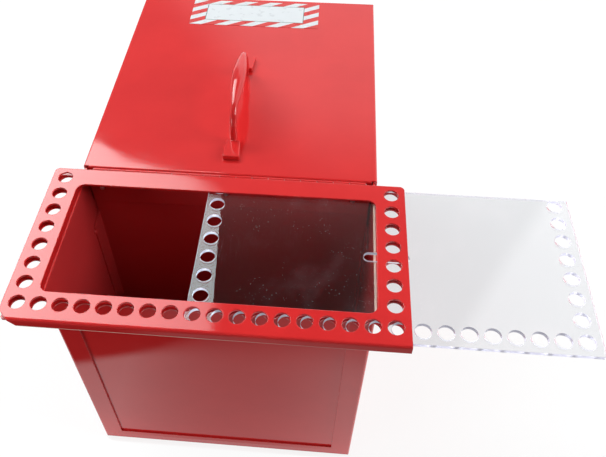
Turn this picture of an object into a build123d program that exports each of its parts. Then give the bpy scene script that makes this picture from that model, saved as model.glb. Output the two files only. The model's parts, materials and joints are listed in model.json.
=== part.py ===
from build123d import *
import os

# Group lockout box of folded and welded steel sheet, in millimetres, +Z up.
# A clear pane with a row of padlock holes slides between two perforated plates over the
# front compartment. Behind it a rear compartment is closed by a lid on a piano hinge.
# The origin is the middle of the base, the front frame faces -Y, and the pane slides
# out along +X. The pane stands pulled out, as far as window_out from closed.

# Steel sheet and the box
sheet = 1.5              # thickness of every folded sheet
fold_in = 1.0            # inner radius of a fold
body_width = 246.0       # over the outer faces of the side walls
body_depth = 398.0       # front frame to rear wall, outer faces
plate_height = 258.0     # ground to the top of the perforated plate
window_depth = 124.0     # front frame to the partition's front face
stile_width = 18.5       # upright leg of the front frame
rail_height = 16.5       # bottom leg of the front frame
header_height = 34.0     # upper leg of the front frame, below the lip
panel_lap = 12.0         # front panel behind its frame, on each edge

# Upper and lower plate, and the channel for the pane between them
plate_side = 24.0        # upper plate beyond a side wall
plate_front = 26.5       # front frame to the lip's outer face
lip_drop = 7.5           # plate's top to the lip's lower edge
lip_corner_cut = 8.3     # corner that is cut off the plate at its left end
lip_end_slant = 5.0      # how far the lip's left end leans in over its height
opening_side = 23.5      # plate strip left at each side of the window opening
opening_front = 26.0     # plate strip in front of the opening
opening_rear = 17.2      # plate strip behind the opening
opening_radius = 7.0
plate_corner = 4.0       # rounded rear corners of the plate
strip_drop = 35.0        # plate's top to the lower edge of the strip on the partition
strip_inset = 1.5        # strip's ends to the side walls
channel = 3.5            # space between the two plates
lower_inset = 1.0        # lower plate's sides inside the upper plate's
lower_setback = 2.0      # lower plate's front edge behind the lip
lower_corner_cut = 1.5   # cut off the lower plate's left front corner
lower_radius = 3.0       # corners of the lower plate's opening
lower_edge = 0.6         # rounding of that opening's upper edge
ledge_width = 10.0       # lower plate under the pane's rear edge
spacer_width = 1.2       # strip that closes the channel's left end
spacer_setback = 10.0    # spacer's front end behind the lip

# Padlock holes
hole_d = 12.0
spacing_x = 16.0         # wanted spacing across the front, rounded to whole steps
spacing_y = 18.0         # wanted spacing along the sides, rounded to whole steps
hole_side_margin = 11.0  # hole centre to the plate's side edge
hole_front_margin = 15.5 # hole centre to the lip's outer face
hole_rear_margin = 10.5  # hole centre to the plate's rear edge

# Sliding pane
pane_sheet = 3.0
pane_left = 8.6          # left hole column to the pane's left edge
pane_right = 11.0        # right hole column to the pane's right edge
pane_front = 11.0        # front hole row to the pane's front edge
pane_rear = 6.5          # rearmost holes to the pane's rear edge
pane_corner = 1.0
window_out = 131.0       # how far the pane stands pulled out
slot_length = 35.0       # key slot in the middle of the pane
slot_width = 8.0

# Partition and rear wall
partition_flange = 18.0  # partition's side flanges, folded forward
flange_low = 51.0        # flange's rear end below the plate's top
flange_fall = 4.0        # how far the flange's top slopes down to the front
partition_gap = 1.0      # partition's upper part to the side walls
weld_radius = 2.2
weld_drop = 10.0         # weld bead below the flange's rear top end
wall_flange = 15.0       # rear wall's side flanges
wall_flange_in = 0.3     # lid's underside to the walls' upper edges

# Piano hinge
hinge_leaf = 0.8
pin_d = 1.7
pin_fit = 0.05           # radial clearance of pin and rivets in their holes
knuckles = 17
knuckle_gap = 0.3
hinge_inset = 4.9        # hinge's end to the end of the lid's near rim
pin_over = 0.4           # pin beyond the last knuckle at each end
body_leaf_drop = 36.0    # pin to the body leaf's lower edge
lid_leaf_drop = 14.0     # pin to the lid leaf's lower edge
leaf_notch = 0.5         # leaf cut back around the other leaf's knuckles
rivet_d = 3.2
rivet_inset = 7.6        # outer rivets to the hinge's ends
rivet_left = 2.0         # middle rivets to the left of the hinge's middle
body_rivet_drop = 18.0   # plate's top to the body rivets
lid_rivet_drop = 10.0    # plate's top to the lid rivets
rivet_head_d = 6.4
rivet_head = 0.8
rivet_tail_d = 4.2
rivet_tail = 1.2
mandrel_d = 2.0          # broken mandrel that stands out of a rivet's tail
mandrel_out = 0.6

# Lid
lid_rim = 16.0           # depth of the lid's folded rims
lid_fold_in = 0.2        # inner radius of the lid's tight folds
lid_gap = 0.5            # lid's rims to the body's outer faces
rim_gap = 1.0            # lid's near rim to the side walls' inner faces
label_width = 136.0
label_depth = 46.0
label_sheet = 0.25
label_corner = 1.5
label_rear = 6.0         # label to the lid's rear edge
label_left = 1.8         # label's middle to the left of the lid's middle

# Handle
handle_length = 144.0
handle_front = 17.5      # lid's near edge to the handle's foot
pad_length = 20.5
pad_thick = 4.5
pad_inner = 11.5         # pad's width at the grip
pad_outer = 15.0         # pad's width at its outer end
pad_corner = 1.5
pad_edge = 0.8           # rounding of the pad's upper edges
shoulder_rise = 29.0     # arch's line of centres above the lid where it turns over
crown_rise = 34.0        # and where its upper runs meet, before their rounding
shoulder_radius = 19.0
crown_radius = 120.0
leg_lean = 4.0           # how far a leg leans in over its height
leg_lap = 1.5            # leg's foot over the pad's inner end
leg_over = 1.0           # length cut off a leg where it meets the lid
leg_width = 6.4
leg_thick = 6.8
grip_width = 12.8        # grip's width at the top of the arch
grip_thick = 8.6
grip_reach = 34.0        # half length of the grip's wider part
grip_stations = 21       # sections that the grip is lofted through

# Places that follow from the sizes above
front_y = -body_depth / 2
rear_y = body_depth / 2
wall_out = body_width / 2
wall_in = wall_out - sheet
partition_y = front_y + window_depth
plate_half = wall_out + plate_side
lip_y = front_y - plate_front
plate_under = plate_height - sheet
channel_low = plate_under - channel
lower_under = channel_low - sheet
fold_mid = fold_in + sheet / 2
wall_top = plate_under - wall_flange_in
strip_half = wall_in - strip_inset
strip_y = partition_y - sheet
lower_half = plate_half - lower_inset
lower_y = (lip_y + sheet + lower_setback, front_y + sheet, strip_y - ledge_width)
barrel_r = pin_d / 2 + pin_fit + hinge_leaf
hinge_y = partition_y + sheet + barrel_r
hinge_z = plate_height - barrel_r                 # barrel's top level with the lid
leaf_y = partition_y + sheet                     # body leaf's front face, upper plate's rear edge
lid_front_y = hinge_y + barrel_r                 # lid's near rim, outer face
lid_rear_y = rear_y + lid_gap + sheet
lid_half = wall_out + lid_gap + sheet
rim_half = wall_in - rim_gap
hinge_length = 2 * (rim_half - hinge_inset)
rivet_hole_r = rivet_d / 2 + pin_fit

# Hole pattern: columns across the front row, rows along both sides
column_x = plate_half - hole_side_margin
row_front = lip_y + hole_front_margin
row_rear = leaf_y - hole_rear_margin
columns = round(2 * column_x / spacing_x) + 1
rows = round((row_rear - row_front) / spacing_y) + 1
step_x = 2 * column_x / (columns - 1)
step_y = (row_rear - row_front) / (rows - 1)
pattern_y = (row_front + row_rear) / 2
front_holes = [(-column_x + step_x * i, row_front) for i in range(columns)]
side_holes = [(s * column_x, row_front + step_y * j) for s in (-1, 1) for j in range(1, rows)]
holes = front_holes + side_holes
rivet_x = [s * (hinge_length / 2 - rivet_inset) - rivet_left for s in (-1, 0, 1)]


def finish(piece, name):
    """Label a finished piece and write it to its own STEP file."""
    piece.part.label = name
    export_step(piece.part, f"parts/{name}.step")


def yz_plane(x):
    """Plane across the box at x, drawn in y and z, that extrudes towards +X."""
    return Plane.YZ.offset(x)


def xz_plane(y):
    """Plane facing the front at y, drawn in x and z, that extrudes towards -Y."""
    return Plane.XZ.offset(-y)


def block(x, y, z, mode=Mode.ADD):
    """Box between the pairs of limits x, y and z."""
    centre = tuple((pair[0] + pair[1]) / 2 for pair in (x, y, z))
    with Locations(centre):
        Box(x[1] - x[0], y[1] - y[0], z[1] - z[0], mode=mode)


def cut_holes(points, z):
    """Drill the padlock holes through the sheet that lies between the two heights z."""
    with BuildSketch(Plane.XY.offset(z[0])) as drill:
        with Locations(*points):
            Circle(hole_d / 2)
    extrude(drill.sketch, amount=z[1] - z[0], mode=Mode.SUBTRACT)


def cut_rivet_holes(height, y):
    """Cut the rivets' clearance holes through the sheets between the two places y."""
    with BuildSketch(xz_plane(y[1])) as drill:
        with Locations(*[(x, height) for x in rivet_x]):
            Circle(rivet_hole_r)
    extrude(drill.sketch, amount=y[1] - y[0], mode=Mode.SUBTRACT)


os.makedirs("parts", exist_ok=True)

# Right wall with its front stile, up to the lower plate, and higher behind the partition
with BuildPart() as right_side:
    with BuildSketch(Plane.XY):
        with BuildLine():
            FilletPolyline(
                (wall_out - stile_width, front_y + sheet / 2),
                (wall_out - sheet / 2, front_y + sheet / 2),
                (wall_out - sheet / 2, rear_y),
                radius=fold_mid,
            )
        trace(line_width=sheet)
    extrude(amount=lower_under)
    block((wall_in, wall_out), (partition_y, rear_y), (lower_under, wall_top))
    # Mitre against the floor's front rail
    with BuildSketch(xz_plane(front_y + sheet + fold_in)):
        with BuildLine():
            Polyline(
                (wall_out, 0),
                (wall_out - stile_width, rail_height),
                (wall_out - stile_width, 0),
                close=True,
            )
        make_face()
    extrude(amount=sheet + fold_in, mode=Mode.SUBTRACT)
finish(right_side, "right_side")

with BuildPart() as left_side:
    mirror(right_side.part, about=Plane.YZ)
finish(left_side, "left_side")

# Upper leg of the front frame, between the stiles
with BuildPart() as front_header:
    block(
        (stile_width - wall_out, wall_out - stile_width),
        (front_y, front_y + sheet),
        (plate_height - header_height - lip_drop, lower_under),
    )
finish(front_header, "front_header")

# Lower plate, a flat frame on the walls with the same padlock holes, which carries the pane
with BuildPart() as lower_plate:
    with BuildSketch(Plane.XY.offset(lower_under)):
        with BuildLine():
            Polyline(
                (-lower_half, lower_y[0] + lower_corner_cut),
                (lower_corner_cut - lower_half, lower_y[0]),
                (lower_half, lower_y[0]),
                (lower_half, partition_y),
                (wall_in, partition_y),
                (wall_in, strip_y),
                (-wall_in, strip_y),
                (-wall_in, partition_y),
                (-lower_half, partition_y),
                close=True,
            )
        make_face()
        with Locations((0, (lower_y[1] + lower_y[2]) / 2)):
            RectangleRounded(
                2 * wall_in, lower_y[2] - lower_y[1], lower_radius, mode=Mode.SUBTRACT
            )
    extrude(amount=sheet)
    rims = lower_plate.faces().sort_by(Axis.Z)[-1].inner_wires()[0].edges()
    fillet(rims, lower_edge)
    cut_holes(holes, (lower_under, channel_low))
finish(lower_plate, "lower_plate")

# Floor with the frame's bottom rail turned up at its front edge
with BuildPart() as floor_sheet:
    with BuildSketch(yz_plane(-wall_in)):
        with BuildLine():
            FilletPolyline(
                (rear_y, sheet / 2),
                (front_y + sheet / 2, sheet / 2),
                (front_y + sheet / 2, rail_height),
                radius=fold_mid,
            )
        trace(line_width=sheet)
    extrude(amount=2 * wall_in)
    for side in (-1, 1):
        with BuildSketch(xz_plane(front_y + sheet + fold_in)):
            with BuildLine():
                Polyline(
                    (side * wall_out, 0),
                    (side * (wall_out - stile_width), rail_height),
                    (side * wall_out, rail_height),
                    close=True,
                )
            make_face()
        extrude(amount=sheet + fold_in, mode=Mode.SUBTRACT)
finish(floor_sheet, "floor_sheet")

# Plain panel welded behind the front frame
with BuildPart() as front_panel:
    panel_half = wall_out - stile_width + panel_lap
    block(
        (-panel_half, panel_half),
        (front_y + sheet, front_y + 2 * sheet),
        (rail_height - panel_lap, plate_height - header_height - lip_drop + panel_lap),
    )
finish(front_panel, "front_panel")

# Partition between the compartments, with two side flanges folded forward
with BuildPart() as partition:
    with BuildSketch(Plane.XY.offset(sheet)):
        with BuildLine():
            FilletPolyline(
                (-wall_in + sheet / 2, partition_y + sheet - partition_flange),
                (-wall_in + sheet / 2, partition_y + sheet / 2),
                (wall_in - sheet / 2, partition_y + sheet / 2),
                (wall_in - sheet / 2, partition_y + sheet - partition_flange),
                radius=fold_mid,
            )
        trace(line_width=sheet)
    extrude(amount=plate_height - flange_low - sheet)
    # Sloping tops of the two flanges
    with BuildSketch(yz_plane(-wall_in)):
        with BuildLine():
            Polyline(
                (partition_y, plate_height - flange_low),
                (partition_y + sheet - partition_flange, plate_height - flange_low),
                (partition_y + sheet - partition_flange, plate_height - flange_low - flange_fall),
                close=True,
            )
        make_face()
    extrude(amount=2 * wall_in, mode=Mode.SUBTRACT)
    block(
        (partition_gap - wall_in, wall_in - partition_gap),
        (partition_y, partition_y + sheet),
        (plate_height - flange_low, plate_under),
    )
    cut_rivet_holes(plate_height - body_rivet_drop, (partition_y, partition_y + sheet))
finish(partition, "partition")

# Weld beads where the partition's flanges meet the side walls
with BuildPart() as partition_welds:
    bead_y = partition_y + sheet - partition_flange
    for side in (-1, 1):
        with Locations((side * wall_in, bead_y, plate_height - flange_low - weld_drop)):
            Sphere(weld_radius)
    bead_z = (0, plate_height)
    behind = (bead_y, partition_y)
    block((wall_in - sheet, wall_in), behind, bead_z, mode=Mode.SUBTRACT)
    block((-wall_in, sheet - wall_in), behind, bead_z, mode=Mode.SUBTRACT)
    block((wall_in, wall_out + sheet), (front_y, partition_y), bead_z, mode=Mode.SUBTRACT)
    block((-wall_out - sheet, -wall_in), (front_y, partition_y), bead_z, mode=Mode.SUBTRACT)
finish(partition_welds, "partition_welds")

# Rear wall, a pan with its side flanges folded forward between the side walls
with BuildPart() as rear_wall:
    with BuildSketch(Plane.XY.offset(sheet)):
        with BuildLine():
            FilletPolyline(
                (-wall_in + sheet / 2, rear_y - wall_flange),
                (-wall_in + sheet / 2, rear_y - sheet / 2),
                (wall_in - sheet / 2, rear_y - sheet / 2),
                (wall_in - sheet / 2, rear_y - wall_flange),
                radius=fold_mid,
            )
        trace(line_width=sheet)
    extrude(amount=wall_top - sheet)
finish(rear_wall, "rear_wall")

# Perforated upper plate with its front lip, which reaches back over the partition's edge
with BuildPart() as top_plate:
    with BuildSketch(yz_plane(-plate_half)):
        with BuildLine():
            FilletPolyline(
                (leaf_y, plate_height - sheet / 2),
                (lip_y + sheet / 2, plate_height - sheet / 2),
                (lip_y + sheet / 2, plate_height - lip_drop),
                radius=fold_mid,
            )
        trace(line_width=sheet)
    extrude(amount=2 * plate_half)
    corners = top_plate.edges().filter_by(Axis.Z).group_by(Axis.Y)[-1]
    fillet(corners, plate_corner)
    # Window opening over the front compartment
    opening_y = (lip_y + opening_front, leaf_y - opening_rear)
    opening_half = plate_half - opening_side
    with BuildSketch(Plane.XY.offset(plate_under)):
        with Locations((0, sum(opening_y) / 2)):
            RectangleRounded(2 * opening_half, opening_y[1] - opening_y[0], opening_radius)
    extrude(amount=sheet, mode=Mode.SUBTRACT)
    # Left front corner, cut off at 45 degrees, and the lip's slanting left end
    with BuildSketch(Plane.XY.offset(plate_height - lip_drop)):
        with BuildLine():
            Polyline(
                (-plate_half, lip_y + lip_corner_cut),
                (lip_corner_cut - plate_half, lip_y),
                (-plate_half, lip_y),
                close=True,
            )
        make_face()
    extrude(amount=lip_drop, mode=Mode.SUBTRACT)
    with BuildSketch(xz_plane(lip_y + sheet)):
        with BuildLine():
            Polyline(
                (-plate_half, plate_under),
                (lip_corner_cut - plate_half, plate_under),
                (lip_corner_cut + lip_end_slant - plate_half, plate_height - lip_drop),
                (-plate_half, plate_height - lip_drop),
                close=True,
            )
        make_face()
    extrude(amount=sheet, mode=Mode.SUBTRACT)
    cut_holes(holes, (plate_under, plate_height))
finish(top_plate, "top_plate")

# Strip under the upper plate's rear edge, riveted to the partition
with BuildPart() as rear_strip:
    block((-strip_half, strip_half), (strip_y, partition_y), (plate_height - strip_drop, plate_under))
    cut_rivet_holes(plate_height - body_rivet_drop, (strip_y, partition_y))
finish(rear_strip, "rear_strip")

# Strip that closes the left end of the channel
with BuildPart() as left_spacer:
    block(
        (-lower_half, spacer_width - lower_half),
        (lip_y + spacer_setback, strip_y),
        (channel_low, plate_under),
    )
finish(left_spacer, "left_spacer")

# Clear sliding pane with the same holes as the plates, and the key slot
with BuildPart() as window:
    pane_x = (window_out - column_x - pane_left, window_out + column_x + pane_right)
    pane_y = (row_front - pane_front, row_rear + pane_rear)
    pane_z = channel_low + (channel - pane_sheet) / 2
    with BuildSketch(Plane.XY.offset(pane_z)):
        with Locations((sum(pane_x) / 2, sum(pane_y) / 2)):
            Rectangle(pane_x[1] - pane_x[0], pane_y[1] - pane_y[0])
        fillet(vertices(), pane_corner)
        with Locations(*[(x + window_out, y) for x, y in holes]):
            Circle(hole_d / 2, mode=Mode.SUBTRACT)
        with Locations((window_out, pattern_y)):
            SlotOverall(slot_length, slot_width, mode=Mode.SUBTRACT)
    extrude(amount=pane_sheet)
finish(window, "window")


def rod_x(centre, radius, x, mode=Mode.ADD):
    """Round bar along X, from x[0] to x[1], around the centre given in y and z."""
    with BuildSketch(yz_plane(x[0])) as section:
        with Locations(centre):
            Circle(radius)
    extrude(section.sketch, amount=x[1] - x[0], mode=mode)


def disc_y(centre, diameter, y):
    """Disc along Y, from y[0] to y[1], around the centre given in x and z."""
    with BuildSketch(xz_plane(y[1])) as section:
        with Locations(centre):
            Circle(diameter / 2)
    extrude(section.sketch, amount=y[1] - y[0])


def knuckle_places(first):
    """Middles of every second knuckle, beginning with the knuckle numbered first."""
    step = hinge_length / knuckles
    return [step * (i + 0.5) - hinge_length / 2 for i in range(first, knuckles, 2)]


def leaf_with_knuckles(own, others, face, drop):
    """Hinge leaf that hangs from its own knuckles and is notched at the others.

    face holds the two faces of the leaf in y, and drop is its depth below the pin."""
    half = hinge_length / 2
    half_step = half / knuckles
    reach = barrel_r + leaf_notch
    block((-half, half), face, (hinge_z - drop, hinge_z))
    for x in others:
        gap = half_step + knuckle_gap / 2
        block((x - gap, x + gap), face, (hinge_z - reach, hinge_z), mode=Mode.SUBTRACT)
    for x in own:
        knuckle = half_step - knuckle_gap / 2
        rod_x((hinge_y, hinge_z), barrel_r, (x - knuckle, x + knuckle))
    rod_x((hinge_y, hinge_z), pin_d / 2 + pin_fit, (-half, half), mode=Mode.SUBTRACT)


# Piano hinge: a leaf on the partition, a leaf on the lid, and one long pin
with BuildPart() as hinge_body_leaf:
    leaf_with_knuckles(
        knuckle_places(0), knuckle_places(1), (leaf_y, leaf_y + hinge_leaf), body_leaf_drop
    )
    cut_rivet_holes(plate_height - body_rivet_drop, (leaf_y, leaf_y + hinge_leaf))
finish(hinge_body_leaf, "hinge_body_leaf")

with BuildPart() as hinge_lid_leaf:
    leaf_with_knuckles(
        knuckle_places(1), knuckle_places(0), (lid_front_y - hinge_leaf, lid_front_y), lid_leaf_drop
    )
    cut_rivet_holes(plate_height - lid_rivet_drop, (lid_front_y - hinge_leaf, lid_front_y))
finish(hinge_lid_leaf, "hinge_lid_leaf")

with BuildPart() as hinge_pin:
    pin_half = hinge_length / 2 + pin_over
    rod_x((hinge_y, hinge_z), pin_d / 2, (-pin_half, pin_half))
finish(hinge_pin, "hinge_pin")

# Blind rivets through strip, partition and body leaf, with their tails to the front
with BuildPart() as hinge_body_rivets:
    leaf_back = leaf_y + hinge_leaf
    for x in rivet_x:
        place = (x, plate_height - body_rivet_drop)
        disc_y(place, rivet_head_d, (leaf_back, leaf_back + rivet_head))
        disc_y(place, rivet_d, (strip_y, leaf_back))
        disc_y(place, rivet_tail_d, (strip_y - rivet_tail, strip_y))
        disc_y(place, mandrel_d, (strip_y - rivet_tail - mandrel_out, strip_y - rivet_tail))
    rims = hinge_body_rivets.edges().filter_by(GeomType.CIRCLE)
    fillet(rims.filter_by_position(Axis.Y, strip_y - rivet_tail, strip_y - rivet_tail)
           .filter_by(lambda rim: rim.radius > mandrel_d), rivet_tail / 3)
finish(hinge_body_rivets, "hinge_body_rivets")

# Blind rivets through the lid leaf and the lid's near rim, with their tails in the lid
with BuildPart() as hinge_lid_rivets:
    rim_back = lid_front_y + sheet
    leaf_front = lid_front_y - hinge_leaf
    for x in rivet_x:
        place = (x, plate_height - lid_rivet_drop)
        disc_y(place, rivet_head_d, (leaf_front - rivet_head, leaf_front))
        disc_y(place, rivet_d, (leaf_front, rim_back))
        disc_y(place, rivet_tail_d, (rim_back, rim_back + rivet_tail))
finish(hinge_lid_rivets, "hinge_lid_rivets")

# Lid, a pan that laps over the side and rear walls, its near rim between the side walls
with BuildPart() as lid:
    block(
        (-lid_half, lid_half), (lid_front_y, lid_rear_y), (plate_height - lid_rim, plate_height)
    )
    fillet(lid.faces().sort_by(Axis.Z)[-1].edges(), lid_fold_in + sheet)
    offset(amount=-sheet, openings=lid.faces().sort_by(Axis.Z)[0])
    for side in (-1, 1):
        notch = sorted((side * rim_half, side * lid_half))
        block(
            notch,
            (lid_front_y, lid_front_y + lid_fold_in + sheet),
            (plate_height - lid_rim, plate_height),
            mode=Mode.SUBTRACT,
        )
    cut_rivet_holes(plate_height - lid_rivet_drop, (lid_front_y, rim_back))
finish(lid, "lid")

# Bare printed label near the lid's rear edge
with BuildPart() as lid_label:
    label_y = lid_rear_y - label_rear - label_depth / 2
    with BuildSketch(Plane.XY.offset(plate_height)):
        with Locations((-label_left, label_y)):
            RectangleRounded(label_width, label_depth, label_corner)
    extrude(amount=label_sheet)
finish(lid_label, "lid_label")

# Arched handle on two tapering pads, its grip lofted through ellipses along the arch
with BuildPart() as handle:
    handle_y = lid_front_y + handle_front + handle_length / 2
    pad_reach = handle_length / 2 - pad_length
    for end in (-1, 1):
        inner_y = handle_y + end * pad_reach
        outer_y = handle_y + end * handle_length / 2
        with BuildSketch(Plane.XY.offset(plate_height)):
            with BuildLine():
                Polyline(
                    (-pad_outer / 2, outer_y),
                    (-pad_inner / 2, inner_y),
                    (pad_inner / 2, inner_y),
                    (pad_outer / 2, outer_y),
                    close=True,
                )
            make_face()
            fillet(vertices(), pad_corner)
        extrude(amount=pad_thick)
    fillet(handle.faces().group_by(Axis.Z)[-1].edges(), pad_edge)
    foot_y = pad_reach - leg_thick / 2 + leg_lap
    shoulder_y = foot_y - leg_lean
    with BuildLine(Plane.YZ):
        arch = FilletPolyline(
            (handle_y - foot_y, plate_height - leg_over),
            (handle_y - shoulder_y, plate_height + shoulder_rise),
            (handle_y, plate_height + crown_rise),
            (handle_y + shoulder_y, plate_height + shoulder_rise),
            (handle_y + foot_y, plate_height - leg_over),
            radius=[shoulder_radius, crown_radius, shoulder_radius],
        )
    for i in range(grip_stations):
        at = i / (grip_stations - 1)
        middle = arch @ at
        swell = max(0, 1 - ((middle.Y - handle_y) / grip_reach) ** 2)
        with BuildSketch(Plane(middle, x_dir=(1, 0, 0), z_dir=arch % at)):
            Ellipse(
                (leg_width + (grip_width - leg_width) * swell) / 2,
                (leg_thick + (grip_thick - leg_thick) * swell) / 2,
            )
    loft()
    # The leaning feet are cut level where they stand on the lid
    split(bisect_by=Plane.XY.offset(plate_height), keep=Keep.TOP)
finish(handle, "handle")
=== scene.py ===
import json
import math

import bpy
from mathutils import Matrix, Vector

# Group lockout box: red enamelled steel, a clear pane that slides between two plates,
# and a lid on a piano hinge. Metres, +Z up, the front frame faces -Y.

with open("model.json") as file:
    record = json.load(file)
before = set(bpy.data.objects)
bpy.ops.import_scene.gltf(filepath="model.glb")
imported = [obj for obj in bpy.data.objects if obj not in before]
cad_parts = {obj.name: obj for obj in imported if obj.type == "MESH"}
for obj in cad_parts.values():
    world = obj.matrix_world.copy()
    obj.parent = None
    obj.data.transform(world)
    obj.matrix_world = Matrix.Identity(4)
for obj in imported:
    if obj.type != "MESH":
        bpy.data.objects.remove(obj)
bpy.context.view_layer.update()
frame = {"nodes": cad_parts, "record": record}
scene = bpy.context.scene


# Node helpers

def add_node(tree, kind, values=None, **settings):
    """A new node with its settings, and its inputs set or linked by name or number."""
    made = tree.nodes.new(kind)
    for name, value in settings.items():
        setattr(made, name, value)
    for key, value in (values or {}).items():
        feed(tree, made.inputs[key], value)
    return made


def feed(tree, socket, value):
    """Link another node's output into the socket, or set a plain value on it."""
    if isinstance(value, bpy.types.NodeSocket):
        tree.links.new(value, socket)
    else:
        socket.default_value = value


def maths(tree, operation, *values, clamp=False):
    """One Math node's output."""
    made = add_node(tree, "ShaderNodeMath", dict(enumerate(values)), operation=operation)
    made.use_clamp = clamp
    return made.outputs[0]


def ramp(tree, value, low, high, to_low=0.0, to_high=1.0):
    """The value carried smoothly from low..high to to_low..to_high, and held outside them."""
    made = add_node(
        tree, "ShaderNodeMapRange",
        {"Value": value, "From Min": low, "From Max": high, "To Min": to_low, "To Max": to_high},
        interpolation_type="SMOOTHSTEP",
    )
    return made.outputs["Result"]


def mix_colour(tree, factor, below, above):
    """Two colours mixed by a mask."""
    made = tree.nodes.new("ShaderNodeMix")
    made.data_type = "RGBA"
    feed(tree, made.inputs["Factor"], factor)
    feed(tree, made.inputs[6], below)
    feed(tree, made.inputs[7], above)
    return made.outputs[2]


def new_group(name, ins, outs):
    """An empty node group with named sockets; ins and outs are (name, kind, default) rows."""
    tree = bpy.data.node_groups.new(name, "ShaderNodeTree")
    for title, kind, default in ins:
        socket = tree.interface.new_socket(title, in_out="INPUT", socket_type=kind)
        if default is not None:
            socket.default_value = default
    for title, kind in outs:
        tree.interface.new_socket(title, in_out="OUTPUT", socket_type=kind)
    return tree, tree.nodes.new("NodeGroupInput").outputs, tree.nodes.new("NodeGroupOutput").inputs


def use_group(tree, group, values):
    """Outputs of a node group that is placed in the tree with the given inputs."""
    made = tree.nodes.new("ShaderNodeGroup")
    made.node_tree = group
    for key, value in values.items():
        feed(tree, made.inputs[key], value)
    return made.outputs


def limits(node, axis):
    """Lowest and highest place of a CAD node along an axis."""
    places = [corner[axis] for corner in frame["nodes"][node].bound_box]
    return min(places), max(places)


FLOAT, VECTOR = "NodeSocketFloat", "NodeSocketVector"


# Shared effects

# Heights of the sprayed skin, counted in the distance of its bump, which is one millimetre
PEEL_HEIGHT = 0.008
WAVE_HEIGHT = 0.14
NIB_HEIGHT = 0.03
SKIN_DISTANCE = 0.001
# Radius that stands for a folded or sheared edge where paint rubs off
EDGE_RADIUS = 0.0007


def make_enamel_skin():
    """Height of sprayed enamel: fine orange peel, slow waves of the sheet, a few dust nibs."""
    tree, given, out = new_group(
        "enamel_skin",
        [("Position", VECTOR, None), ("Peel", FLOAT, 1.0), ("Waves", FLOAT, 1.0), ("Nibs", FLOAT, 1.0)],
        [("Height", FLOAT)],
    )
    fine = add_node(tree, "ShaderNodeTexNoise",
                    {"Vector": given["Position"], "Scale": 430.0, "Detail": 1.5, "Roughness": 0.5})
    slow = add_node(tree, "ShaderNodeTexNoise",
                    {"Vector": given["Position"], "Scale": 11.0, "Detail": 1.0, "Roughness": 0.4})
    spots = add_node(tree, "ShaderNodeTexVoronoi", {"Vector": given["Position"], "Scale": 75.0})
    nib = ramp(tree, spots.outputs["Distance"], 0.0, 0.045, 1.0, 0.0)
    rare = maths(tree, "GREATER_THAN", add_node(
        tree, "ShaderNodeSeparateColor", {"Color": spots.outputs["Color"]}).outputs[0], 0.8)
    peel = maths(tree, "MULTIPLY", maths(tree, "MULTIPLY", fine.outputs[0], given["Peel"]), PEEL_HEIGHT)
    waves = maths(tree, "MULTIPLY", maths(tree, "MULTIPLY", slow.outputs[0], given["Waves"]), WAVE_HEIGHT)
    nibs = maths(tree, "MULTIPLY", maths(tree, "MULTIPLY", nib, rare),
                 maths(tree, "MULTIPLY", given["Nibs"], NIB_HEIGHT))
    total = maths(tree, "ADD", maths(tree, "ADD", peel, waves), nibs)
    tree.links.new(total, out["Height"])
    return tree


def make_edge_wear():
    """Mask of rubbed edges: where the rounded normal leaves the true one, broken up by noise."""
    tree, given, out = new_group(
        "edge_wear",
        [("Position", VECTOR, None), ("Amount", FLOAT, 1.0)],
        [("Mask", FLOAT), ("Normal", VECTOR)],
    )
    rounded = add_node(tree, "ShaderNodeBevel", {"Radius": EDGE_RADIUS}, samples=6)
    true = tree.nodes.new("ShaderNodeNewGeometry")
    dot = add_node(tree, "ShaderNodeVectorMath",
                   {0: rounded.outputs[0], 1: true.outputs["Normal"]}, operation="DOT_PRODUCT")
    edge = ramp(tree, dot.outputs["Value"], 0.8, 0.97, 1.0, 0.0)
    patches = add_node(tree, "ShaderNodeTexNoise",
                       {"Vector": given["Position"], "Scale": 130.0, "Detail": 4.0, "Roughness": 0.65})
    broken = ramp(tree, patches.outputs[0], 0.5, 0.68)
    mask = maths(tree, "MULTIPLY", maths(tree, "MULTIPLY", edge, broken), given["Amount"], clamp=True)
    tree.links.new(mask, out["Mask"])
    tree.links.new(rounded.outputs[0], out["Normal"])
    return tree


def make_settled_dust():
    """Mask of dust: fine specks in cloudy patches."""
    tree, given, out = new_group(
        "settled_dust",
        [("Position", VECTOR, None), ("Specks", FLOAT, 900.0), ("Amount", FLOAT, 1.0)],
        [("Mask", FLOAT)],
    )
    cells = add_node(tree, "ShaderNodeTexVoronoi", {"Vector": given["Position"], "Scale": given["Specks"]})
    size = maths(tree, "MULTIPLY", add_node(
        tree, "ShaderNodeSeparateColor", {"Color": cells.outputs["Color"]}).outputs[1], 0.34)
    speck = maths(tree, "LESS_THAN", cells.outputs["Distance"], maths(tree, "SUBTRACT", size, 0.2))
    cloud = add_node(tree, "ShaderNodeTexNoise",
                     {"Vector": given["Position"], "Scale": 24.0, "Detail": 3.0, "Roughness": 0.6})
    patch = ramp(tree, cloud.outputs[0], 0.42, 0.66)
    mask = maths(tree, "MULTIPLY", maths(tree, "MULTIPLY", speck, patch), given["Amount"], clamp=True)
    tree.links.new(mask, out["Mask"])
    return tree


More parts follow.
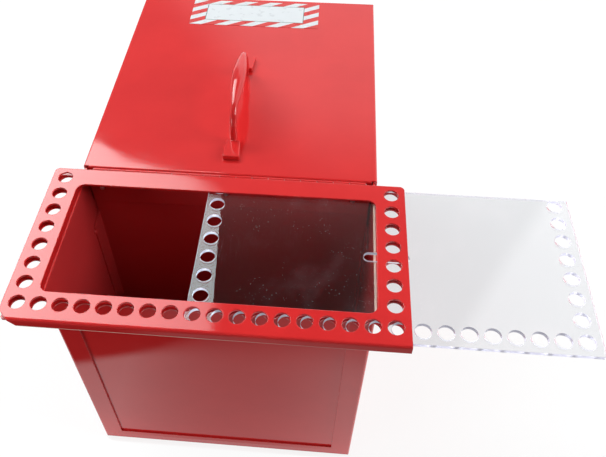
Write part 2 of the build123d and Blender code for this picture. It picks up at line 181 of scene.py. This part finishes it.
def make_hair_scratches():
    """Mask of hair-thin scratches: thin lines of equal height in three stretched noises, in patches."""
    tree, given, out = new_group(
        "hair_scratches",
        [("Position", VECTOR, None), ("Amount", FLOAT, 1.0)],
        [("Mask", FLOAT)],
    )
    # Three layers: the stretch in x, y and z, and how far it is then turned in the noise, in radians
    strokes = ((0.5, (640.0, 22.0, 1.0)), (-1.0, (520.0, 30.0, 1.0)), (1.45, (580.0, 18.0, 1.0)))
    lines = None
    for turn, stretch in strokes:
        laid = add_node(tree, "ShaderNodeMapping", {"Vector": given["Position"]}, vector_type="POINT")
        laid.inputs["Rotation"].default_value = (0.0, 0.0, turn)
        laid.inputs["Scale"].default_value = stretch
        grain = add_node(tree, "ShaderNodeTexNoise",
                         {"Vector": laid.outputs[0], "Scale": 1.0, "Detail": 0.0, "Distortion": 0.25})
        off = maths(tree, "ABSOLUTE", maths(tree, "SUBTRACT", grain.outputs[0], 0.56))
        line = ramp(tree, off, 0.0, 0.011, 1.0, 0.0)
        lines = line if lines is None else maths(tree, "MAXIMUM", lines, line)
    cloud = add_node(tree, "ShaderNodeTexNoise",
                     {"Vector": given["Position"], "Scale": 17.0, "Detail": 2.0})
    patch = ramp(tree, cloud.outputs[0], 0.48, 0.7)
    mask = maths(tree, "MULTIPLY", maths(tree, "MULTIPLY", lines, patch), given["Amount"], clamp=True)
    tree.links.new(mask, out["Mask"])
    return tree


def make_within_box():
    """Mask that is one inside a box, given by its middle and its half sizes."""
    tree, given, out = new_group(
        "within_box",
        [("Position", VECTOR, None), ("Middle", VECTOR, None), ("Half Size", VECTOR, None)],
        [("Mask", FLOAT)],
    )
    away = add_node(tree, "ShaderNodeVectorMath", {0: given["Position"], 1: given["Middle"]},
                    operation="SUBTRACT")
    away = add_node(tree, "ShaderNodeVectorMath", {0: away.outputs[0]}, operation="ABSOLUTE")
    over = add_node(tree, "ShaderNodeVectorMath", {0: away.outputs[0], 1: given["Half Size"]},
                    operation="SUBTRACT")
    parts = add_node(tree, "ShaderNodeSeparateXYZ", {0: over.outputs[0]}).outputs
    most = maths(tree, "MAXIMUM", maths(tree, "MAXIMUM", parts["X"], parts["Y"]), parts["Z"])
    tree.links.new(maths(tree, "LESS_THAN", most, 0.0), out["Mask"])
    return tree


enamel_skin = make_enamel_skin()
within_box = make_within_box()
edge_wear = make_edge_wear()
settled_dust = make_settled_dust()
hair_scratches = make_hair_scratches()


# Materials

# Enamel: rubbed edges, painted shade inside the box, a pale line under the lip,
# a painted highlight along the opening's right edge, and settled dust
RUBBED_EDGE = (0.62, 0.30, 0.26, 1.0)
INSIDE_PAINTED_SHADE = (0.11, 0.034, 0.036, 1.0)
PALE_LINE_AND_HIGHLIGHT = (0.86, 0.62, 0.50, 1.0)
ENAMEL_DUST = (0.62, 0.45, 0.42, 1.0)
# Acrylic: the sheet, its sawn edges, and the painted glow on marks, smudges and sawn edges
SHEET_TINT = (0.82, 0.828, 0.848, 1.0)
SAWN_TINT = (0.42, 0.42, 0.50, 1.0)
MARK_PAINTED_GLOW = (0.26, 0.23, 0.25, 1.0)
SMUDGE_PAINTED_GLOW = (0.26, 0.20, 0.22, 1.0)
SAWN_PAINTED_GLOW = (0.24, 0.235, 0.285, 1.0)
# Plated steel: two tones of the plating, and its rubbed edges
STEEL_DARK = (0.34, 0.34, 0.35, 1.0)
STEEL_PALE = (0.62, 0.62, 0.63, 1.0)
STEEL_RUBBED = (0.78, 0.78, 0.79, 1.0)
# Label film: two tones of its red and its white, the outline of its field, and dust
FILM_REDS = ((0.60, 0.022, 0.020, 1.0), (0.70, 0.034, 0.030, 1.0))
FILM_WHITES = ((0.67, 0.66, 0.685, 1.0), (0.72, 0.71, 0.735, 1.0))
FILM_LINE = (0.10, 0.16, 0.14, 1.0)
FILM_DUST = (0.35, 0.30, 0.29, 1.0)
# Label's layout in metres: its left edge and near edge, one white and one red stripe together,
# how far a stripe leans across for its run along the lid, and the bare field with its outline
FILM_LEFT, FILM_NEAR = -0.0698, 0.149
STRIPE_PAIR, STRIPE_LEAN = 0.0270, 1.80
FIELD_X, FIELD_Y = -0.0018, 0.1730
FIELD_HALF_X, FIELD_HALF_Y = 0.0520, 0.0148
LINE_HALF = 0.00035


def new_material(name):
    """A material with its tree, its Principled shader and the piece's own position."""
    made = bpy.data.materials.new(name)
    made.use_nodes = True
    tree = made.node_tree
    tree.nodes.clear()
    surface = tree.nodes.new("ShaderNodeBsdfPrincipled")
    output = tree.nodes.new("ShaderNodeOutputMaterial")
    tree.links.new(surface.outputs[0], output.inputs["Surface"])
    place = tree.nodes.new("ShaderNodeTexCoord").outputs["Object"]
    return made, tree, surface, output, place


def box_mask(tree, place, x, y, z):
    """Mask of the box between the limits x, y and z."""
    middle = [(pair[0] + pair[1]) / 2 for pair in (x, y, z)]
    half = [(pair[1] - pair[0]) / 2 for pair in (x, y, z)]
    return use_group(tree, within_box, {"Position": place, "Middle": middle, "Half Size": half})["Mask"]


def red_enamel(name, deep, light):
    """Gloss red enamel on sheet steel: darkened inside the box as painted shade, a pale line under
    the lip, and a painted highlight where the pane runs over the lower plate's edge."""
    made, tree, surface, _, place = new_material(name)
    cloud = add_node(tree, "ShaderNodeTexNoise",
                     {"Vector": place, "Scale": 18.0, "Detail": 4.0, "Roughness": 0.6})
    tone = mix_colour(tree, ramp(tree, cloud.outputs[0], 0.3, 0.7), deep, light)
    worn = use_group(tree, edge_wear, {"Position": place, "Amount": 0.7})
    specks = use_group(tree, settled_dust, {"Position": place, "Specks": 700.0, "Amount": 0.5})
    rubbed = mix_colour(tree, worn["Mask"], tone, RUBBED_EDGE)
    # Painted shade: the inner faces, up to the lower plate, are darkened
    wall = limits("partition", 0)
    front, rear = limits("front_panel", 1)[0], limits("rear_wall", 1)[1]
    inside = box_mask(tree, place, (wall[0] - 0.0003, wall[1] + 0.0003), (front + 0.0005, rear - 0.0005),
                      (0.0003, limits("lower_plate", 2)[0]))
    rubbed = mix_colour(tree, maths(tree, "MULTIPLY", inside, 0.42), rubbed, INSIDE_PAINTED_SHADE)
    # Pale line along the lip's lower edge, strongest on the left
    lip, lip_low = limits("top_plate", 1)[0], limits("top_plate", 2)[0]
    under_lip = box_mask(tree, place, (-1.0, 1.0), (lip - 0.001, lip + 0.001), (lip_low, lip_low + 0.0006))
    across = add_node(tree, "ShaderNodeSeparateXYZ", {0: place}).outputs["X"]
    bare = maths(tree, "MULTIPLY", under_lip, ramp(tree, across, -0.02, 0.1, 0.85, 0.08))
    rubbed = mix_colour(tree, bare, rubbed, PALE_LINE_AND_HIGHLIGHT)
    # Painted highlight: a pale line on the lower plate's edge at the opening's right end, where the pane
    # runs over it
    channel = limits("lower_plate", 2)[1]
    run = (lip + 0.03, limits("rear_strip", 1)[0] - 0.01)
    right_edge_highlight = box_mask(tree, place, (wall[1] - 0.0002, wall[1] + 0.0017), run,
                        (channel - 0.0008, channel + 0.0001))
    rubbed = mix_colour(tree, maths(tree, "MULTIPLY", right_edge_highlight, 0.9), rubbed, PALE_LINE_AND_HIGHLIGHT)
    dusty = mix_colour(tree, maths(tree, "MULTIPLY", specks["Mask"], 0.35), rubbed, ENAMEL_DUST)
    tree.links.new(dusty, surface.inputs["Base Color"])
    smear = add_node(tree, "ShaderNodeTexNoise",
                     {"Vector": place, "Scale": 40.0, "Detail": 5.0, "Roughness": 0.7})
    rough = ramp(tree, smear.outputs[0], 0.35, 0.7, 0.04, 0.075)
    rough = maths(tree, "ADD", rough, maths(tree, "MULTIPLY", worn["Mask"], 0.25))
    rough = maths(tree, "ADD", rough, maths(tree, "MULTIPLY", specks["Mask"], 0.3))
    tree.links.new(rough, surface.inputs["Roughness"])
    skin = use_group(tree, enamel_skin, {"Position": place, "Peel": 1.0, "Waves": 1.0, "Nibs": 1.0})
    bump = add_node(tree, "ShaderNodeBump", {
        "Height": skin["Height"], "Normal": worn["Normal"], "Strength": 1.0, "Distance": SKIN_DISTANCE})
    tree.links.new(bump.outputs[0], surface.inputs["Normal"])
    surface.inputs["IOR"].default_value = 1.5
    return made


def clear_acrylic(name):
    """Clear acrylic sheet, with scratches, dust and sawn, frosty edges, and a painted glow on them."""
    made, tree, surface, output, place = new_material(name)
    facing = tree.nodes.new("ShaderNodeNewGeometry").outputs["Normal"]
    up = maths(tree, "ABSOLUTE", add_node(tree, "ShaderNodeSeparateXYZ", {0: facing}).outputs["Z"])
    cut = ramp(tree, up, 0.3, 0.7, 1.0, 0.0)
    lines = use_group(tree, hair_scratches, {"Position": place, "Amount": 0.12})["Mask"]
    specks = use_group(tree, settled_dust, {"Position": place, "Specks": 600.0, "Amount": 1.0})["Mask"]
    smudge = add_node(tree, "ShaderNodeTexNoise",
                      {"Vector": place, "Scale": 30.0, "Detail": 5.0, "Roughness": 0.65})
    haze = ramp(tree, smudge.outputs[0], 0.45, 0.75, 0.0, 0.035)
    tint = mix_colour(tree, cut, SHEET_TINT, SAWN_TINT)
    tree.links.new(tint, surface.inputs["Base Color"])
    marks = maths(tree, "MAXIMUM", maths(tree, "MULTIPLY", lines, 0.4), maths(tree, "MULTIPLY", specks, 0.6))
    rough = maths(tree, "MAXIMUM", maths(tree, "MULTIPLY", cut, 0.45), maths(tree, "MAXIMUM", marks, haze))
    tree.links.new(rough, surface.inputs["Roughness"])
    # Painted glow: dust, scratches, smudges and the sawn edges give off a little light of their own
    pale = mix_colour(tree, maths(tree, "MAXIMUM", specks, maths(tree, "MULTIPLY", lines, 0.6)),
                      (0.0, 0.0, 0.0, 1.0), MARK_PAINTED_GLOW)
    pale = mix_colour(tree, ramp(tree, smudge.outputs[0], 0.5, 0.75, 0.0, 0.06), pale, SMUDGE_PAINTED_GLOW)
    pale = mix_colour(tree, cut, pale, SAWN_PAINTED_GLOW)
    tree.links.new(pale, surface.inputs["Emission Color"])
    surface.inputs["Emission Strength"].default_value = 1.0
    bump = add_node(tree, "ShaderNodeBump",
                    {"Height": smudge.outputs[0], "Strength": 0.05, "Distance": 0.0001})
    tree.links.new(bump.outputs[0], surface.inputs["Normal"])
    surface.inputs["IOR"].default_value = 1.49
    surface.inputs["Transmission Weight"].default_value = 1.0
    # Light reaches what lies under the clear sheet
    path = tree.nodes.new("ShaderNodeLightPath")
    through = tree.nodes.new("ShaderNodeBsdfTransparent")
    through.inputs[0].default_value = (0.98, 0.98, 0.98, 1.0)
    either = tree.nodes.new("ShaderNodeMixShader")
    tree.links.new(path.outputs["Is Shadow Ray"], either.inputs[0])
    tree.links.new(surface.outputs[0], either.inputs[1])
    tree.links.new(through.outputs[0], either.inputs[2])
    tree.links.new(either.outputs[0], output.inputs["Surface"])
    return made


def plain_steel(name):
    """Zinc-plated steel of the rivets and the hinge pin, dulled by handling."""
    made, tree, surface, _, place = new_material(name)
    spots = add_node(tree, "ShaderNodeTexNoise",
                     {"Vector": place, "Scale": 300.0, "Detail": 5.0, "Roughness": 0.7})
    worn = use_group(tree, edge_wear, {"Position": place, "Amount": 0.8})
    tone = mix_colour(tree, spots.outputs[0], STEEL_DARK, STEEL_PALE)
    tone = mix_colour(tree, worn["Mask"], tone, STEEL_RUBBED)
    tree.links.new(tone, surface.inputs["Base Color"])
    rough = ramp(tree, spots.outputs[0], 0.3, 0.7, 0.28, 0.5)
    tree.links.new(rough, surface.inputs["Roughness"])
    bump = add_node(tree, "ShaderNodeBump", {
        "Height": spots.outputs[0], "Normal": worn["Normal"], "Strength": 0.4, "Distance": 0.0001})
    tree.links.new(bump.outputs[0], surface.inputs["Normal"])
    surface.inputs["Metallic"].default_value = 1.0
    return made


def printed_film(name):
    """Label film: white diagonal stripes on red, round a bare white field with a thin outline."""
    made, tree, surface, _, place = new_material(name)
    parts = add_node(tree, "ShaderNodeSeparateXYZ", {0: place})
    x, y = parts.outputs["X"], parts.outputs["Y"]
    # Stripes: distance along x, less the lean, counted in pairs of stripes. Ten pairs are added,
    # so that the count stays above zero.
    lean = maths(tree, "MULTIPLY", maths(tree, "SUBTRACT", y, FILM_NEAR), STRIPE_LEAN)
    along = maths(tree, "ADD", maths(tree, "SUBTRACT", x, lean), 10 * STRIPE_PAIR - FILM_LEFT)
    phase = maths(tree, "FRACT", maths(tree, "DIVIDE", along, STRIPE_PAIR))
    stripe = maths(tree, "LESS_THAN", phase, 0.5)
    # Field: how far a place lies outside it, below zero inside
    over = [maths(tree, "SUBTRACT", maths(tree, "ABSOLUTE", maths(tree, "SUBTRACT", place_on, middle)), half)
            for place_on, middle, half in ((x, FIELD_X, FIELD_HALF_X), (y, FIELD_Y, FIELD_HALF_Y))]
    reach = maths(tree, "MAXIMUM", *over)
    field = maths(tree, "LESS_THAN", reach, 0.0)
    line = maths(tree, "LESS_THAN", maths(tree, "ABSOLUTE", reach), LINE_HALF)
    fade = add_node(tree, "ShaderNodeTexNoise", {"Vector": place, "Scale": 120.0, "Detail": 4.0})
    red = mix_colour(tree, fade.outputs[0], *FILM_REDS)
    white = mix_colour(tree, fade.outputs[0], *FILM_WHITES)
    inked = mix_colour(tree, stripe, red, white)
    inked = mix_colour(tree, field, inked, white)
    inked = mix_colour(tree, line, inked, FILM_LINE)
    specks = use_group(tree, settled_dust, {"Position": place, "Specks": 900.0, "Amount": 1.0})["Mask"]
    inked = mix_colour(tree, maths(tree, "MULTIPLY", specks, 0.4), inked, FILM_DUST)
    tree.links.new(inked, surface.inputs["Base Color"])
    rough = ramp(tree, fade.outputs[0], 0.3, 0.7, 0.25, 0.4)
    tree.links.new(rough, surface.inputs["Roughness"])
    skin = use_group(tree, enamel_skin, {"Position": place, "Peel": 0.6, "Waves": 0.4, "Nibs": 1.0})
    bump = add_node(tree, "ShaderNodeBump",
                    {"Height": skin["Height"], "Strength": 1.0, "Distance": SKIN_DISTANCE})
    tree.links.new(bump.outputs[0], surface.inputs["Normal"])
    return made


materials = {
    "painted_steel": red_enamel("red_enamel", (0.66, 0.022, 0.023, 1.0), (0.70, 0.025, 0.025, 1.0)),
    "clear_pane": clear_acrylic("clear_acrylic"),
    "bare_steel": plain_steel("plain_steel"),
    "label": printed_film("printed_film"),
}
for row in frame["record"]["subparts"]:
    carried = frame["nodes"][row["node"]]
    for socket in carried.material_slots:
        socket.material = materials[row["material_slot"]]


# Stage

# Floor: half its width, its height, and the strength and share of the plain white in it
FLOOR_HALF, FLOOR_HEIGHT = 6, -0.0002
FLOOR_WHITE, WHITE_SHARE = 1.03, 0.82
# Table in front of the box, which only shows as a reflection and as light on the front
TABLE_X, TABLE_Y, TABLE_HEIGHT = (-1.6, 1.6), (-2.4, -0.203), 0.0004
# Ceiling panel to the left and behind, lit on its lower side
PANEL_OUTLINE = ((-0.32, 0.6), (-3.4, 0.6), (-3.4, 2.66), (-1.9, 2.66), (-1.16, 2.32), (-0.98, 2.19),
                 (-0.43, 2.05))
PANEL_HEIGHT = 2.5
PANEL_TINT = (0.87, 1.0, 1.0, 1.0)
# World: how far the left edges of the wall and the patch move with height, where they would stand
# at the height of the eye, and the dim light of the rest of the room
WALL_LEAN, WALL_FOOT = 0.85, -0.6225
PATCH_LEAN, PATCH_FOOT = 0.717, 0.810
DIM_REST = 0.10


def pale_floor(name):
    """White floor: its own diffuse light, and a share of plain white wherever the eye sees it, be it
    directly, through the pane or mirrored."""
    made, tree, surface, output, place = new_material(name)
    surface.inputs["Base Color"].default_value = (0.86, 0.86, 0.86, 1.0)
    grain = add_node(tree, "ShaderNodeTexNoise", {"Vector": place, "Scale": 60.0, "Detail": 4.0})
    tree.links.new(ramp(tree, grain.outputs[0], 0.3, 0.7, 0.85, 0.95), surface.inputs["Roughness"])
    path = tree.nodes.new("ShaderNodeLightPath")
    seen = maths(tree, "ADD", maths(
        tree, "ADD", path.outputs["Is Camera Ray"], path.outputs["Is Transmission Ray"]),
        path.outputs["Is Glossy Ray"], clamp=True)
    glow = add_node(tree, "ShaderNodeEmission", {"Color": (1.0, 1.0, 1.0, 1.0), "Strength": FLOOR_WHITE})
    either = tree.nodes.new("ShaderNodeMixShader")
    tree.links.new(maths(tree, "MULTIPLY", seen, WHITE_SHARE), either.inputs[0])
    tree.links.new(surface.outputs[0], either.inputs[1])
    tree.links.new(glow.outputs[0], either.inputs[2])
    tree.links.new(either.outputs[0], output.inputs["Surface"])
    return made


def flat_sheet(name, corners, material):
    """A flat sheet, corners given anticlockwise as seen from its lit side."""
    mesh = bpy.data.meshes.new(name)
    mesh.from_pydata(corners, [], [tuple(range(len(corners)))])
    made = bpy.data.objects.new(name, mesh)
    mesh.materials.append(material)
    scene.collection.objects.link(made)
    return made


def flat_rectangle(x, y, z):
    """Corners of a level rectangle between the limits x and y, at the height z."""
    return [(x[0], y[0], z), (x[1], y[0], z), (x[1], y[1], z), (x[0], y[1], z)]


def glowing_sheet(name, pattern, colour=(1.0, 1.0, 1.0, 1.0)):
    """Material that only glows, as strongly as the pattern says for the place in x and y."""
    made = bpy.data.materials.new(name)
    made.use_nodes = True
    tree = made.node_tree
    tree.nodes.clear()
    place = tree.nodes.new("ShaderNodeTexCoord").outputs["Object"]
    parts = add_node(tree, "ShaderNodeSeparateXYZ", {0: place}).outputs
    glow = add_node(tree, "ShaderNodeEmission",
                    {"Color": colour, "Strength": pattern(tree, parts["X"], parts["Y"])})
    output = tree.nodes.new("ShaderNodeOutputMaterial")
    tree.links.new(glow.outputs[0], output.inputs["Surface"])
    return made


def table_pattern(tree, x, y):
    """Table as the front mirrors it: dimmer in the middle, dark beyond an edge that is nearer on
    the left and softer on the right, and pale again further out on the right."""
    edge = ramp(tree, x, -0.24, 0.06, -0.272, -0.325)
    soft = ramp(tree, x, -0.12, 0.04, 0.006, 0.045)
    inside = maths(tree, "DIVIDE", maths(tree, "SUBTRACT", y, edge), soft)
    level = maths(tree, "MULTIPLY_ADD", maths(tree, "MULTIPLY", x, x), 30.0, 0.53)
    level = maths(tree, "MINIMUM", level, 0.96)
    near = maths(tree, "MULTIPLY", level, ramp(tree, inside, -1.0, 1.0, 0.02, 1.0))
    far = maths(tree, "MULTIPLY", ramp(tree, y, -0.345, -0.335, 0.35, 0.0), ramp(tree, x, -0.16, -0.06))
    return maths(tree, "MAXIMUM", near, far)


def ceiling_pattern(tree, x, y):
    """Panel that grows stronger to the left and dies down over its right rear corner."""
    level = maths(tree, "MINIMUM", maths(tree, "MULTIPLY_ADD", x, -4.5, 2.6), 10.0)
    late = ramp(tree, y, 1.85, 2.05)
    corner = maths(tree, "SUBTRACT", 1.0, maths(tree, "MULTIPLY", late, ramp(tree, x, -0.66, -0.38)))
    return maths(tree, "MULTIPLY", level, corner)


def softbox(name, place, aim, size, radiance):
    """Rectangular soft lamp at place, aimed at a point, with an even radiance."""
    lamp = bpy.data.lights.new(name, "AREA")
    lamp.shape = "RECTANGLE"
    lamp.size, lamp.size_y = size
    lamp.energy = radiance * math.pi * size[0] * size[1]
    made = bpy.data.objects.new(name, lamp)
    scene.collection.objects.link(made)
    toward = (Vector(aim) - Vector(place)).normalized()
    made.matrix_world = Matrix.Translation(place) @ toward.to_track_quat("-Z", "Y").to_matrix().to_4x4()


floor_span = (-FLOOR_HALF, FLOOR_HALF)
flat_sheet("studio_floor", flat_rectangle(floor_span, floor_span, FLOOR_HEIGHT), pale_floor("pale_floor"))
table_edge = flat_sheet("table_edge", flat_rectangle(TABLE_X, TABLE_Y, TABLE_HEIGHT),
                        glowing_sheet("table_edge", table_pattern))
table_edge.visible_camera = table_edge.visible_transmission = table_edge.visible_shadow = False
panel = flat_sheet("ceiling_panel", [(x, y, PANEL_HEIGHT) for x, y in reversed(PANEL_OUTLINE)],
                   glowing_sheet("ceiling_panel", ceiling_pattern, PANEL_TINT))
panel.visible_camera = False
# Soft lamp on the right that reaches the left wall inside
softbox("right_softbox", (2.0, -0.2, 1.2), (0.0, -0.1, 0.2), (1.0, 1.0), 8.0)
# Near soft lamp in front on the left, for the front and the lip
softbox("front_softbox", (-0.75, -0.75, 0.35), (-0.05, -0.2, 0.15), (0.5, 0.4), 4.8)


def studio_world():
    """Dim room: bright low wall behind on the right, dimmer on the left, dark above and in front."""
    made = bpy.data.worlds.new("studio_world")
    made.use_nodes = True
    tree = made.node_tree
    tree.nodes.clear()
    toward = tree.nodes.new("ShaderNodeTexCoord").outputs["Generated"]
    parts = add_node(tree, "ShaderNodeSeparateXYZ", {0: toward}).outputs
    x, y, z = parts["X"], parts["Y"], parts["Z"]
    # Left edge of the bright wall, which leans to the right as it rises
    side = maths(tree, "SUBTRACT", x, maths(tree, "MULTIPLY_ADD", z, WALL_LEAN, WALL_FOOT))
    wall = maths(tree, "MULTIPLY", ramp(tree, side, -0.06, 0.06), ramp(tree, z, 0.62, 0.74, 0.85, 0.0))
    # Dim low wall all along, and a faint glow above it on the right
    low = ramp(tree, z, 0.70, 0.80, 0.25, 0.0)
    high = maths(tree, "MULTIPLY", ramp(tree, x, 0.0, 0.12), ramp(tree, z, 0.70, 0.78, 0.0, 0.12))
    # Bright patch high on the right, whose left edge leans to the left as it rises
    edge = maths(tree, "MULTIPLY_ADD", z, PATCH_LEAN, maths(tree, "SUBTRACT", x, PATCH_FOOT))
    patch = ramp(tree, edge, -0.016, 0.016)
    patch = maths(tree, "MULTIPLY", patch, ramp(tree, x, 0.42, 0.50, 1.2, 0.0))
    patch = maths(tree, "MULTIPLY", patch, ramp(tree, z, 0.62, 0.66))
    patch = maths(tree, "MULTIPLY", patch, ramp(tree, z, 0.86, 0.90, 1.0, 0.0))
    behind = maths(tree, "ADD", maths(tree, "ADD", wall, low), maths(tree, "ADD", high, patch))
    behind = maths(tree, "MULTIPLY", behind, ramp(tree, y, -0.15, 0.15))
    back = tree.nodes.new("ShaderNodeBackground")
    # The eye sees plain white round the floor, and the object mirrors the room
    seen = tree.nodes.new("ShaderNodeLightPath").outputs["Is Camera Ray"]
    room = maths(tree, "ADD", behind, DIM_REST)
    unseen = maths(tree, "MULTIPLY", room, maths(tree, "SUBTRACT", 1.0, seen))
    tree.links.new(maths(tree, "ADD", unseen, seen), back.inputs["Strength"])
    back.inputs["Color"].default_value = (1.0, 1.0, 1.0, 1.0)
    output = tree.nodes.new("ShaderNodeOutputWorld")
    tree.links.new(back.outputs[0], output.inputs["Surface"])
    return made


scene.world = studio_world()


# Camera

# Place in metres and turns in degrees, fitted to the holes, edges and folds in the photo
CAMERA_PLACE = (0.07407, -0.46911, 0.66508)
CAMERA_TURN, CAMERA_TILT, CAMERA_ROLL = 4.52, 40.418, 0.576

lens = bpy.data.cameras.new("photo_camera")
lens.sensor_width = 36.0
lens.lens = 40.34
lens.shift_x = 0.0517
lens.shift_y = -0.0043
lens.clip_start = 0.05
camera = bpy.data.objects.new("photo_camera", lens)
scene.collection.objects.link(camera)
camera.matrix_world = (
    Matrix.Translation(CAMERA_PLACE)
    @ Matrix.Rotation(math.radians(CAMERA_TURN), 4, "Z")
    @ Matrix.Rotation(math.radians(CAMERA_TILT), 4, "X")
    @ Matrix.Rotation(math.radians(CAMERA_ROLL), 4, "Y")
)
scene.camera = camera
scene.view_settings.view_transform = "Standard"
